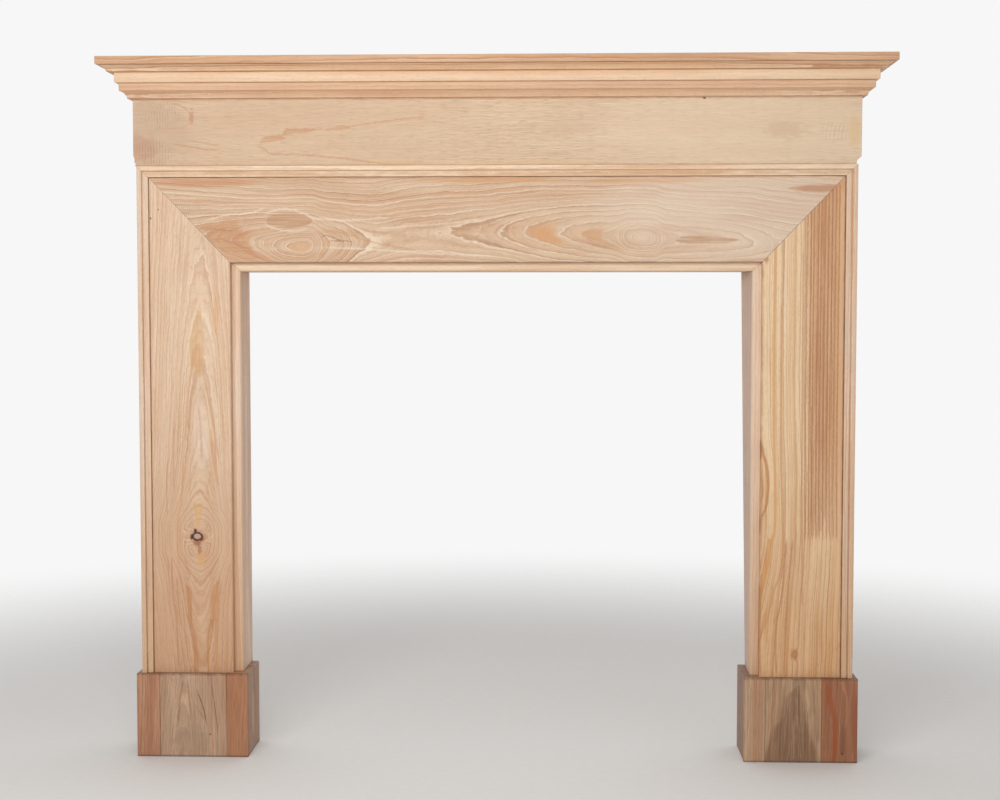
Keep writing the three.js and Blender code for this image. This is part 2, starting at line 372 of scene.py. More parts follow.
@dataclass(frozen=True)
class Streak:
    """A drawn line of dark grain that runs through given points along the board."""

    points: Line
    width: float
    colour: str
    share: float = 0.7
    ragged: float = 1.5

    def lay(self, board: Board, under: NodeSocket) -> NodeSocket:
        """Lays the line over a colour.

        Args:
            board: the position in the board.
            under: the colour below.

        Returns:
            The colour with the line in it.
        """
        g = board.graph
        course = g.trace(board.along, self.points)
        torn = g.math("SUBTRACT", g.cloud(board.place, (7.0, 5.0, 9.0), self.width, 2.0), 0.5)
        gap = g.math("SUBTRACT", board.across, course)
        away = g.math("ABSOLUTE", g.math("MULTIPLY_ADD", torn, self.ragged * 4, gap))
        body = g.fit(away, (self.width * 0.2, self.width * 0.75), (self.share, 0.0), True)
        low, high = self.points[0][0], self.points[-1][0]
        fade = min(18.0, (high - low) * 0.3)
        starts = g.fit(board.along, (low - 1.0, low + fade), (0.0, 1.0), True)
        ends = g.fit(board.along, (high - fade, high + 1.0), (1.0, 0.0), True)
        reach = g.math("MULTIPLY", starts, ends)
        return g.mix(g.math("MULTIPLY", body, reach), under, linear(self.colour))


@dataclass(frozen=True)
class Knot:
    """A branch that the board was sawn through, placed by its centre and half sizes along and across."""

    at: Point
    size: Point
    rim: str
    core: str
    halo: str
    lift: float = 22.0
    reach: float = 3.4
    rim_share: float = 0.9

    def away(self, board: Board) -> Node:
        """Gives the distance from the knot's centre, which is one at its rim."""
        g = board.graph
        torn = g.math("SUBTRACT", g.cloud(board.place, (5.0, 4.0, 9.0), self.at[1], 2.0), 0.5)
        return g.math("MULTIPLY_ADD", torn, 0.55, g.away(board.place, self.at, self.size))

    def lay(self, board: Board, under: NodeSocket) -> NodeSocket:
        """Lays halo, rim and core over a colour.

        Args:
            board: the position in the board.
            under: the colour below.

        Returns:
            The colour with the knot in it.
        """
        g = board.graph
        away = self.away(board)
        halo = g.mix(g.fit(away, (0.9, 2.1), (0.55, 0.0), True), under, linear(self.halo))
        rim = g.mix(g.fit(away, (0.95, 1.2), (self.rim_share, 0.0), True), halo, linear(self.rim))
        return g.mix(g.fit(away, (0.45, 0.8), (0.85, 0.0), True), rim, linear(self.core))


@dataclass(frozen=True)
class Seam:
    """A darker line along a joint, from one point to another along and across the board: a stain at flush
    joints, and painted shade where it runs along a gap or a step.
    """

    start: Point
    end: Point
    width: float
    colour: str
    share: float = 0.5

    def lay(self, board: Board, under: NodeSocket) -> NodeSocket:
        """Lays the darker line over a colour.

        Args:
            board: the position in the board.
            under: the colour below.

        Returns:
            The colour with the line in it.
        """
        g = board.graph
        run = (self.end[0] - self.start[0], self.end[1] - self.start[1])
        length = (run[0] ** 2 + run[1] ** 2) ** 0.5
        side = (-run[1] / length, run[0] / length, 0.0)
        base = -(side[0] * self.start[0] + side[1] * self.start[1])
        dot = g.add("VectorMath", {0: board.place, 1: side}, operation="DOT_PRODUCT").outputs[1]
        away = g.math("ABSOLUTE", g.math("ADD", dot, base))
        worn = g.cloud(board.place, (28.0, 6.0, 20.0), self.width, 2.0)
        body = g.fit(away, (0.0, self.width), (self.share, 0.0), True)
        patchy = g.math("MULTIPLY", body, g.fit(worn, (0.3, 0.6), (0.3, 1.0)))
        return g.mix(patchy, under, linear(self.colour))


Mark = Blush | Growth | Tongue | ShadeTowardsFloor | SawMarks | Streak | Knot | Seam


@dataclass(frozen=True)
class StrippedPine:
    """Old softwood whose paint was stripped and whose face was hand planed long ago.

    The eye reads pale spring wood, thin red-brown summer lines that swell into ovals where the saw
    met a bulge of the trunk, some years redder than others, fine fibres that follow the rings, a dry
    surface with no gloss, and the summer lines standing a little proud.
    """

    name: str
    lay: Lay
    face: float
    early: str
    late: str
    blush: str
    pith: Line
    depth: Line
    amber: str = "#d9a473"
    pitch: float = 6.5
    contrast: float = 0.85
    wobble: float = 6.0
    jitter: float = 1.0
    tone: float = 0.4
    bands: float = 0.45
    faint: float = 0.22
    pale: float = 0.3
    spring: str = "#f4e4cf"
    streaks: float = 0.3
    fibre: float = 0.07
    flecks: float = 0.14
    fleck: str = "#a27a5c"
    dash: Point = (10.0, 1.5)
    straight: bool = False
    seed: float = 1.0
    roughness: float = 0.66
    marks: tuple[Mark, ...] = ()

    def board(self, graph: Graph) -> Board:
        """Finds the position in the board, in mm, and its distance from the pith."""
        spot = graph.add("TexCoord").outputs["Object"]
        mm = graph.add("VectorMath", {0: spot, 1: (MM_PER_METRE,) * 3}, operation="MULTIPLY")
        axes = graph.add("SeparateXYZ", {0: mm}).outputs
        along, across, into, sign = self.lay.value
        depth = graph.math("MULTIPLY_ADD", axes[into], float(sign), -sign * self.face)
        place = graph.add("CombineXYZ", {0: axes[along], 1: axes[across], 2: depth})
        board = Board(graph, axes[along], axes[across], place)
        return replace(board, radius=self.radius(board))

    def radius(self, board: Board) -> Node:
        """Measures how far each point lies from the pith, which is what its growth ring depends on.

        Args:
            board: the position in the board.

        Returns:
            A node that gives the distance in mm, with the trunk's swellings in it.
        """
        g = board.graph
        lean = g.cloud(board.place, (120.0, 46.0, 60.0), self.seed)
        sway = g.fit(lean, (0.0, 1.0), (-self.wobble, self.wobble))
        side = g.math("SUBTRACT", board.across, g.trace(board.along, self.pith))
        inward = g.add("SeparateXYZ", {0: board.place}).outputs[2]
        deep = g.math("ADD", g.trace(board.along, self.depth, 6.0), inward)
        arm = g.add("CombineXYZ", {0: g.math("ADD", side, sway), 1: deep})
        radius = g.add("VectorMath", {0: arm}, operation="LENGTH").outputs[1]
        shake = g.cloud(board.place, (26.0, 9.0, 12.0), self.seed + 7.3, 3.0)
        radius = g.math("ADD", g.fit(shake, (0.0, 1.0), (-self.jitter * 1.6, self.jitter * 1.6)), radius)
        for mark in self.marks:
            if isinstance(mark, Knot):
                bulge = g.fit(mark.away(board), (0.8, mark.reach), (mark.lift, 0.0), True)
                radius = g.math("ADD", radius, bulge)
        return radius

    def rings(self, board: Board) -> Node:
        """Counts the rings out from the pith, some years wide and some narrow."""
        g = board.graph
        years = g.math("MULTIPLY", board.radius, 1 / self.pitch)
        slow = g.add("TexNoise", {"W": years, "Scale": 0.37, "Detail": 0.0}, noise_dimensions="1D")
        quick = g.add("TexNoise", {"W": years, "Scale": 1.15, "Detail": 0.0}, noise_dimensions="1D")
        uneven = g.math("MULTIPLY_ADD", slow, 0.9, g.math("MULTIPLY_ADD", quick, 0.35, self.seed * 7.0))
        return g.math("ADD", years, uneven)

    def summer(self, board: Board, rings: Node, chance: NodeSocket) -> Node:
        """Gives how much summer wood shows: it rises through a year and drops sharply at its end.

        Args:
            board: the position in the board.
            rings: the ring count.
            chance: three numbers that belong to each ring alone.

        Returns:
            A node that is one at the heart of a strong summer line.
        """
        g = board.graph
        part = g.math("FRACT", rings)
        wide, strong, _ = g.add("SeparateXYZ", {0: chance}).outputs
        rises = g.fit(part, (g.fit(wide, (0.0, 1.0), (0.4, 0.82)), YEAR_END), (0.0, 1.0), True)
        drops = g.fit(part, (YEAR_END, 1.0), (1.0, 0.3))
        line = g.math("MULTIPLY", g.math("MULTIPLY", rises, drops), g.fit(strong, (0.0, 1.0), (0.3, 1.0)))
        patchy = g.cloud(board.place, (170.0, 26.0, 24.0), self.seed + 13.1, 1.0)
        fade = g.fit(patchy, (0.3, 0.6), (0.45, 1.0))
        return g.math("MULTIPLY", line, fade)

    def bare(self, board: Board, rings: Node, chance: NodeSocket) -> NodeSocket:
        """Colours the spring wood: pale, with redder zones, redder years and soft streaks.

        Args:
            board: the position in the board.
            rings: the ring count.
            chance: three numbers that belong to each ring alone.

        Returns:
            The colour between the summer lines.
        """
        g = board.graph
        patch = g.cloud(board.place, (230.0, 24.0, 40.0), self.seed + 3.7, 2.0)
        colour = g.mix(g.fit(patch, (0.4, 0.68), (0.0, self.tone)), linear(self.early), linear(self.blush))
        luck = g.add("SeparateXYZ", {0: chance}).outputs[2]
        warm = g.fit(g.math("ADD", luck, patch), (1.1, 1.4), (0.0, self.bands), True)
        body = g.fit(g.math("FRACT", rings), (0.05, 0.5), (0.4, 1.0))
        colour = g.mix(g.math("MULTIPLY", warm, body), colour, linear(self.amber))
        first = g.fit(g.math("FRACT", rings), (0.0, 0.24), (self.pale, 0.0), True)
        colour = g.mix(first, colour, linear(self.spring))
        fine = g.math("FRACT", g.math("MULTIPLY", rings, FAINT_LINES))
        drawn = g.fit(fine, (0.5, 0.95), (0.0, self.faint))
        thin = g.math("MULTIPLY", drawn, g.fit(patch, (0.35, 0.6), (0.2, 1.0)))
        return g.mix(thin, colour, linear(self.late))

    def make(self) -> Material:
        """Builds the material.

        Returns:
            The finish as a Blender material.
        """
        material = bpy.data.materials.new(self.name)
        material.use_nodes = True
        shader = material.node_tree.nodes["Principled BSDF"]
        g = Graph(material.node_tree)
        board = self.board(g)
        rings = self.rings(board)
        chance = g.add("TexWhiteNoise", {"W": g.math("FLOOR", rings)}, noise_dimensions="1D").outputs["Color"]
        summer = self.summer(board, rings, chance)
        share = g.math("MULTIPLY", summer, self.contrast)
        colour = g.mix(share, self.bare(board, rings, chance), linear(self.late))
        beside = board.across if self.straight else board.radius
        grain = g.add("CombineXYZ", {0: board.along, 1: beside})
        streak = g.cloud(grain, (210.0, 4.5, 1.0), self.seed + 17.0, 2.0)
        colour = g.mix(g.fit(streak, (0.45, 0.72), (0.0, self.streaks)), colour, linear(self.blush))
        hair = g.cloud(grain, (48.0, 1.5, 1.0), self.seed + 21.0, 2.0)
        light = g.fit(hair, (0.25, 0.75), (1 - self.fibre, 1 + self.fibre))
        colour = g.mix(1.0, colour, light, "MULTIPLY")
        dash = g.cloud(grain, (*self.dash, 1.0), self.seed + 31.0, 1.0)
        colour = g.mix(g.fit(dash, (0.55, 0.72), (0.0, self.flecks)), colour, linear(self.fleck))
        for mark in self.marks:
            colour = mark.lay(board, colour)
        g.tree.links.new(colour, shader.inputs["Base Color"])
        dry = g.fit(summer, (0.0, 1.0), (self.roughness, self.roughness - 0.1))
        g.tree.links.new(dry.outputs[0], shader.inputs["Roughness"])
        relief = g.math("MULTIPLY_ADD", hair, 0.45, share)
        bump = g.add("Bump", {"Strength": 0.35, "Distance": GRAIN_RELIEF, "Height": relief})
        g.tree.links.new(bump.outputs[0], shader.inputs["Normal"])
        return material


@dataclass
class CarriedBoard:
    """A board of the frame that keeps its solid, and gets its wood and softened arrises."""

    node: str
    finish: StrippedPine
    arris: float = 0.0007

    def dress(self) -> None:
        """Gives the board its wood and rounds its arrises with live modifiers, which leave its mesh alone."""
        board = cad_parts[self.node]
        board.data.materials.clear()
        board.data.materials.append(self.finish.make())
        weld = board.modifiers.new("weld", "WELD")
        weld.merge_threshold = WELD_GAP
        flat = board.modifiers.new("flat", "DECIMATE")
        flat.decimate_type = "DISSOLVE"
        flat.angle_limit = FLAT_ANGLE
        ease = board.modifiers.new("ease", "BEVEL")
        ease.width = self.arris
        ease.segments = 2
        ease.limit_method = "ANGLE"
        ease.angle_limit = ARRIS_ANGLE
        LOG.info("%s dressed as %s", self.node, self.finish.name)


LIGHT_STRIP = StrippedPine(
    name="stripped_pine_moulding",
    lay=Lay.RAIL,
    face=-30.0,
    early="#efd6b8",
    late="#c58e64",
    blush="#e6c09c",
    pith=((-760, 1130), (-200, 1124), (300, 1131), (760, 1126)),
    depth=((-760, 60), (0, 66), (760, 58)),
    pitch=7.5,
    contrast=0.6,
    wobble=3.0,
    jitter=0.8,
    bands=0.25,
)


@dataclass
class Cornice:
    """The shelf and the three mouldings that carry it, each a front length with two mitred returns."""

    shelf_face: float = 1365.5
    reach: dict[str, float] = field(default_factory=lambda: {"cove": 50.0, "fascia": 28.5, "bed": 21.5})
    front: float = -29.0
    side: float = FRIEZE_END

    def finishes(self) -> dict[str, StrippedPine]:
        """Gives each moulding's wood: red-brown shelf, brown cove, pale fascia, pinkish bed."""
        shelf = replace(
            LIGHT_STRIP, name="stripped_pine_shelf", lay=Lay.DECK, face=self.shelf_face,
            early="#dcb18c", late="#a56f49", blush="#c9956d",
            pith=((-762, -20), (0, -12), (762, -24)), depth=((-762, 34), (762, 40)),
            pitch=6.0, contrast=0.85, tone=0.6, seed=4.0,
        )
        cove = replace(
            LIGHT_STRIP, name="stripped_pine_cove", early="#e4c09c", late="#a2693f", blush="#cd9a72",
            pith=((-760, 1318), (0, 1324), (760, 1316)), pitch=7.0, contrast=0.8, seed=9.0,
        )
        fascia = replace(
            LIGHT_STRIP, name="stripped_pine_fascia", early="#ecd0af", late="#cb9b72", blush="#e3bb97",
            pith=((-760, 1290), (0, 1296), (760, 1286)), pitch=8.5, contrast=0.5, seed=14.0,
        )
        bed = replace(
            LIGHT_STRIP, name="stripped_pine_bed", early="#deb996", late="#b57c53", blush="#d2a07e",
            pith=((-760, 1262), (0, 1268), (760, 1258)), pitch=7.0, contrast=0.7, seed=19.0,
        )
        return {"shelf": shelf, "cove": cove, "fascia": fascia, "bed": bed}

    def dress(self) -> None:
        """Dresses the shelf, the front lengths and the returns."""
        finishes = self.finishes()
        CarriedBoard("shelf", finishes["shelf"], 0.0012).dress()
        for layer, reach in self.reach.items():
            wood = finishes[layer]
            CarriedBoard(f"{layer}_front", replace(wood, face=self.front - reach), 0.0005).dress()
            for end, lay in (("left", Lay.RETURN_IN), ("right", Lay.RETURN_OUT)):
                face = (self.side + reach) * (-1 if end == "left" else 1)
                course = ((-90.0, wood.pith[0][1]), (90.0, wood.pith[0][1] + 4))
                turned = replace(
                    wood, name=f"{wood.name}_{end}", lay=lay, face=face, pith=course,
                    depth=((-90, 50), (90, 56)), seed=wood.seed + 1,
                )
                CarriedBoard(f"{layer}_{end}", turned, 0.0005).dress()


@dataclass
class Frieze:
    """The wide plain board under the cornice, faintly grained, with its saw marks at the left end."""

    face: float = -29.0

    def finish(self) -> StrippedPine:
        """Gives the frieze's wood: pale beige with short dashes and one ragged flame."""
        flame = "#c8946e"
        return StrippedPine(
            name="stripped_pine_frieze", lay=Lay.RAIL, face=self.face,
            early="#dcc1a2", late="#b98d68", blush="#cfaa8a",
            pith=((-704, 1240), (-460, 1204), (0, 1210), (704, 1216)),
            depth=((-704, 92), (-460, 78), (-300, 66), (-126, 52), (300, 44), (704, 52)),
            pitch=7.5, contrast=0.12, wobble=5.0, jitter=1.4, tone=0.4, bands=0.0, faint=0.12, pale=0.08,
            streaks=0.4, fibre=0.15, flecks=0.6, fleck="#ac8462", dash=(22, 1.2), straight=True, seed=24.0,
            marks=(
                Blush((-380, 1225), (420, 110), "#cfae8e", 0.4, 0.2),
                # Painted light: a lighter oval over the right half of the board, brightening that end as if
                # more light fell on it.
                Blush((520, 1225), (420, 110), "#ecd5b8", 0.45, 0.2),
                Blush((-672, 1228), (110, 90), "#c3a48a", 0.5, 0.5),
                Blush((-690, 1195), (44, 34), "#bf9176", 0.55, 0.6),
                SawMarks((-726, 1250), 5.2, (-650, 1258), (48, 36), "#9c8068", 0.45),
                SawMarks((-1400, 1190), 5.6, (-664, 1188), (42, 30), "#9a7455", 0.5),
                Streak(((-630, 1282), (-612, 1278), (-597, 1268), (-588, 1252)), 3.0, flame, 0.7, 1.6),
                Streak(((-650, 1234), (-612, 1235), (-597, 1240), (-588, 1251)), 2.6, flame, 0.5, 1.8),
                Blush((-589, 1256), (6, 15), "#bd835c", 0.6, 1.1),
                Streak(((-636, 1206), (-588, 1198), (-548, 1192), (-528, 1196)), 2.6, flame, 0.7, 1.0),
                Streak(((-600, 1211), (-556, 1204), (-530, 1197)), 2.4, flame, 0.6, 1.2),
                Tongue(((-458, 1204), (-440, 1206), (-420, 1208), (-402, 1214)),
                       ((-458, 1204.5), (-445, 1217), (-420, 1220), (-402, 1214.5)), flame, 0.75, 1.6),
                Tongue(((-414, 1219), (-395, 1221), (-365, 1224), (-340, 1230)),
                       ((-414, 1219.5), (-403, 1232), (-370, 1234), (-340, 1230.5)), flame, 0.75, 1.6),
                Tongue(((-318, 1230), (-296, 1231), (-276, 1236)),
                       ((-318, 1230.5), (-297, 1240), (-276, 1236.5)), flame, 0.6, 1.4),
                Streak(((-462, 1201), (-447, 1216), (-412, 1220), (-401, 1231), (-345, 1231),
                        (-308, 1231), (-270, 1238), (-200, 1248), (-130, 1256)), 3.4, flame, 0.6, 2.2),
                Streak(((-465, 1201), (-446, 1193), (-431, 1184), (-399, 1183), (-322, 1178),
                        (-225, 1167), (-120, 1163)), 3.6, flame, 0.65, 1.8),
                Streak(((-250, 1172), (-100, 1163), (200, 1166)), 5.0, "#e3be90", 0.5, 1.0),
                Blush((690, 1225), (16, 40), "#deba88", 0.5),
                Blush((150, 1230), (60, 16), "#cfae8f", 0.4, 0.7),
                Blush((560, 1226), (50, 22), "#cdab8c", 0.4, 0.7),
                SawMarks((760, 1205), 7.5, (648, 1222), (34, 22), "#b88c6a", 0.4),
                Seam((-FRIEZE_END, 1289), (FRIEZE_END, 1289), 2.6, "#a3764e", 0.55),
                Seam((-FRIEZE_END, 1162), (FRIEZE_END, 1162), 2.4, "#a3764e", 0.5),
                Blush((403, 1288), (4, 2.4), "#4a3022", 0.9, 0.0),
            ),
        )

    def dress(self) -> None:
        """Dresses the frieze board."""
        CarriedBoard("frieze", self.finish()).dress()


@dataclass
class Surround:
    """The mitred boards round the opening, with the strip outside them and the bead inside them."""

    face: float = -27.0
    strip_face: float = -35.0
    bead_face: float = -9.0

    def head(self) -> StrippedPine:
        """Gives the head board's wood: two nests of ovals, and long tongues between them that point left."""
        brown, pale = "#c4936d", "#eedcc6"
        return StrippedPine(
            name="stripped_pine_head_board", lay=Lay.RAIL, face=self.face,
            early="#dabc9d", late="#a5744f", blush="#ca9f7b", amber="#cf9a72",
            pith=((-677, 1040), (-458, 1012), (-376, 1006), (-250, 1014), (-58, 1032),
                  (165, 1030), (284, 1022), (473, 1014), (677, 1006)),
            depth=((-677, 62), (-600, 54), (-560, 48), (-500, 38), (-466, 30), (-440, 22),
                   (-410, 10.5), (-376, 0.5), (-355, 12), (-346, 23), (-336, 33), (-300, 46),
                   (-190, 66), (-58, 62), (58, 49), (165, 36),
                   (226, 29), (258, 12), (284, 0.5), (310, 12), (335, 29), (460, 36),
                   (560, 50), (677, 62)),
            pitch=7.6, contrast=0.78, wobble=6.0, jitter=1.4, tone=0.45, bands=0.4, faint=0.42, pale=0.5,
            streaks=0.35, fibre=0.09, flecks=0.2, seed=2.0,
            marks=(
                Tongue(((-604, 1049), (-565, 1022), (-520, 972), (-376, 960)),
                       ((-604, 1050), (-556, 1062), (-524, 1070), (-500, 1058), (-478, 1022),
                        (-452, 988), (-410, 970), (-376, 961)),
                       "#c4895a", 0.7, 3.4, 26.0, 0.8),
                Growth((36, 46), (-520, 1010), (90, 40), "#c28a60", 0.4),
                Growth((34, 42), (-430, 985), (90, 22), "#c28a60", 0.4),
                Streak(((-560, 1042), (-520, 1036), (-490, 1046)), 2.4, "#a87552", 0.5, 1.6),
                Streak(((-540, 1022), (-505, 1010), (-480, 1000), (-460, 985)), 2.4, "#a87552", 0.5, 1.6),
                Streak(((-566, 1056), (-520, 1066), (-478, 1070), (-440, 1084)), 3.0, pale, 0.5, 1.6),
                Blush((-378, 1006), (26, 14), "#d8a983", 0.55, 0.3),
                Tongue(((-446, 1055), (-436, 1044), (-400, 1039), (-370, 1043), (-352, 1054)),
                       ((-446, 1056), (-436, 1067), (-400, 1073), (-370, 1067), (-352, 1055)),
                       "#b98a66", 0.8, 1.2, 4.0, 0.7),
                Streak(((-453, 1054), (-446, 1066), (-430, 1075), (-410, 1078), (-376, 1071),
                        (-340, 1058), (-290, 1056), (-200, 1061)), 4.0, pale, 0.5, 2.0),
                Streak(((-453, 1056), (-440, 1044), (-415, 1037), (-390, 1035), (-360, 1042)),
                       3.4, pale, 0.5, 1.8),
                Streak(((-330, 1003), (-250, 1000), (-130, 992), (0, 986)), 3.4, pale, 0.45, 1.6),
                Streak(((-230, 1040), (-130, 1046), (-20, 1058)), 4.0, pale, 0.4, 1.6),
                Blush((470, 1080), (330, 130), "#ecdac7", 0.4, 0.2),
                Growth((41.5, 49), (84, 1020), (60, 34), "#d49b69", 0.8),
                Growth((30, 36), (180, 1026), (40, 30), "#cf9c72", 0.7),
                Blush((284, 1023), (26, 14), "#e6ccb0", 0.55, 0.3),
                Tongue(((345, 1016), (380, 1008), (440, 1009), (480, 1016)),
                       ((345, 1016.5), (380, 1027), (440, 1024), (480, 1016.5)),
                       "#b98b66", 0.75, 1.4, 4.0, 0.7),
                Blush((-560, 1129), (130, 9), "#c88f67", 0.65),
                Blush((0, 1133), (170, 5.5), "#d3985f", 0.6),
                Blush((300, 1131), (150, 6), "#d7a470", 0.5),
                Blush((625, 1115), (70, 9), "#bb815c", 0.7),
                Streak(((-344, 1020), (-328, 1026), (-305, 1018), (-270, 1013)), 2.4, "#8d6247", 0.6, 2.4),
                Streak(((-330, 1013), (-310, 1016), (-290, 1012)), 2.2, "#8d6247", 0.5, 2.4),
                Streak(((-340, 1036), (-300, 1032), (-240, 1014), (-150, 996)), 4.0, brown, 0.45, 2.0),
                SawMarks((-286, 1104), 5.0, (-290, 1104), (14, 9), "#a5795a", 0.6),
                SawMarks((-1300, 1260), 4.2, (-600, 1078), (46, 22), "#a27a5e", 0.4),
                # Painted shade along the top edge, in the gap under the proud outer strip.
                Seam((-677, 1138), (677, 1138), 4.0, "#b47c50", 0.5),
                Seam((-CASING_EDGE, HEAD_TOP), (-BEAD_EDGE, HEAD_FOOT), 2.0, "#a87a55", 0.5),
                Seam((CASING_EDGE, HEAD_TOP), (BEAD_EDGE, HEAD_FOOT), 2.4, "#9a6a48", 0.6),
                # Painted shade along the lower edge, where the board steps down to the recessed bead.
                Seam((-677, 974.5), (677, 974.5), 2.2, "#94613e", 0.6),
            ),
        )

    def left_leg(self) -> StrippedPine:
        """Gives the left leg's wood: pale, with a tall flame, ovals round a knot and brown bands below."""
        brown, orange, pale = "#b9835c", "#cf9b70", "#e6d3bf"
        return StrippedPine(
            name="stripped_pine_left_leg", lay=Lay.STILE, face=self.face,
            early="#e5c9ac", late="#b98460", blush="#dcb491", amber="#dab084",
            pith=((165, -578), (349, -582), (434, -583), (567, -578), (900, -576), (1139, -572)),
            depth=((165, 60), (300, 50), (349, 44), (390, 27), (434, 8), (470, 24),
                   (508, 42), (567, 49), (783, 59), (920, 67), (1139, 76)),
            pitch=6.2, contrast=0.66, wobble=4.0, jitter=1.1, tone=0.3, bands=0.14, faint=0.4, pale=0.26,
            streaks=0.28, flecks=0.2, fleck="#b07e5c", seed=5.0,
            marks=(
                # Painted shade: the leg darkens towards the plinth.
                ShadeTowardsFloor(760.0, PLINTH_HEIGHT, "#e3cdbb"),
                Tongue(((745, -584), (765, -597), (800, -600), (850, -594), (880, -585),
                        (915, -576)),
                       ((745, -583), (765, -570), (800, -566), (850, -569), (880, -572),
                        (915, -575.5)), "#d6ab78", 0.75, 1.4, 5.0, 0.55),
                Tongue(((770, -590), (785, -597), (815, -590)), ((770, -576), (785, -570),
                       (815, -582)), "#cf9a70", 0.6, 1.6, 4.0, 0.6),
                Tongue(((830, -547), (860, -551), (925, -549)), ((830, -546), (860, -539),
                       (925, -546)), "#dca876", 0.7, 1.2, 3.0, 0.6),
                Tongue(((560, -578), (610, -596), (660, -597), (720, -590), (775, -583)),
                       ((560, -577), (610, -560), (660, -563), (720, -574), (775, -582.5)),
                       pale, 0.45, 1.8, 9.0, 0.6),
                Streak(((620, -609), (700, -603), (770, -594), (800, -590)), 4.0, orange, 0.6, 0.9),
                Streak(((580, -575), (650, -578), (700, -582)), 4.5, "#c99b82", 0.5, 0.8),
                Streak(((580, -541), (660, -553), (740, -568), (780, -575)), 3.4, orange, 0.6, 0.8),
                Streak(((600, -556), (680, -564), (740, -574)), 2.6, orange, 0.5, 0.8),
                Streak(((600, -527), (680, -536), (760, -552)), 2.6, orange, 0.45, 0.8),
                Streak(((470, -646), (540, -646), (600, -640)), 2.4, brown, 0.5, 0.8),
                Streak(((520, -632), (600, -632), (660, -628)), 2.8, brown, 0.45, 0.8),
                Streak(((360, -625), (460, -624), (520, -616), (590, -612)), 5.0, orange, 0.6, 0.8),
                Tongue(((510, -602), (540, -603), (580, -601)), ((510, -601), (540, -597),
                       (580, -599)), orange, 0.75, 0.8, 2.0, 0.5),
                Tongue(((508, -566), (530, -570), (560, -562), (600, -566)),
                       ((508, -556), (530, -562), (560, -556), (600, -564)), orange, 0.5, 1.2, 2.0),
                Tongue(((530, -544), (560, -553), (600, -559), (650, -560)),
                       ((530, -542), (560, -544), (600, -549), (650, -556)), orange, 0.75, 1.0, 2.5),
                Tongue(((448, -588), (478, -592), (503, -596)), ((448, -584), (478, -576),
                       (503, -572)), "#d8a56c", 0.75, 1.6, 3.0, 0.6),
                Tongue(((378, -586), (396, -588), (408, -582)), ((378, -572), (396, -570),
                       (408, -578)), "#d8a469", 0.8, 1.4, 3.0, 0.4),
                Blush((425, -587), (11, 9), "#8f4618", 0.7, 0.6),
                Blush((412, -582), (14, 5), "#a05c34", 0.6, 0.8),
                Streak(((352, -566), (372, -556), (392, -548)), 2.4, brown, 0.5, 1.0),
                Streak(((350, -600), (372, -606), (396, -614)), 2.4, brown, 0.5, 1.0),
                Tongue(((150, -598), (192, -597), (241, -600), (265, -607), (324, -610),
                        (345, -613), (380, -618)),
                       ((150, -586), (192, -586), (241, -591), (265, -596), (324, -598),
                        (345, -610), (380, -617.5)), "#bb7f4b", 0.8, 1.0, 2.4, 0.4),
                Tongue(((268, -562), (275, -564), (314, -563), (335, -558), (349, -548)),
                       ((268, -544), (275, -543), (314, -540), (335, -538), (349, -545)),
                       "#c38a59", 0.75, 1.4, 3.0, 0.65),
                Tongue(((150, -570), (220, -571), (272, -564)), ((150, -564), (220, -564),
                       (272, -552)), "#bb7f4b", 0.8, 0.9, 2.2, 0.4),
                Tongue(((150, -557), (220, -557), (275, -556)), ((150, -544), (220, -545),
                       (275, -543)), "#c38b5b", 0.7, 1.0, 3.0, 0.6),
                Streak(((166, -627), (260, -629), (340, -637), (400, -638)), 3.4, brown, 0.65, 0.9),
                Streak(((250, -619), (300, -625), (360, -629)), 2.6, brown, 0.6, 0.9),
                Streak(((240, -634), (300, -641), (400, -646)), 2.4, brown, 0.5, 0.9),
                Streak(((180, -606), (240, -612), (320, -618)), 2.2, brown, 0.5, 0.8),
                Knot((436, -586), (8.2, 10.6), "#561a04", "#c6ab98", "#ad6c42", 20.0, 3.2, 0.95),
                Blush((447, -590), (7, 4), "#4d1804", 0.95, 0.5),
                Blush((435, -597), (7, 4), "#441604", 0.9, 0.6),
                Blush((430, -578), (4, 6), "#662c10", 0.7, 0.8),
                Blush((1077, -657), (2.2, 1.8), "#5d3d2a", 0.85, 0.0),
                Blush((1060, -672), (2.4, 2.2), "#5d3d2a", 0.85, 0.0),
                # Painted shade: darker lines down the outer edge beside the gap to the proud outer strip, and
                # down the inner edge where the board steps down to the bead.
                Seam((PLINTH_HEIGHT, -674), (HEAD_TOP, -674), 2.5, "#a8744e", 0.45),
                Seam((PLINTH_HEIGHT, -517.5), (HEAD_FOOT, -517.5), 3.0, "#b5845e", 0.5),
            ),
        )

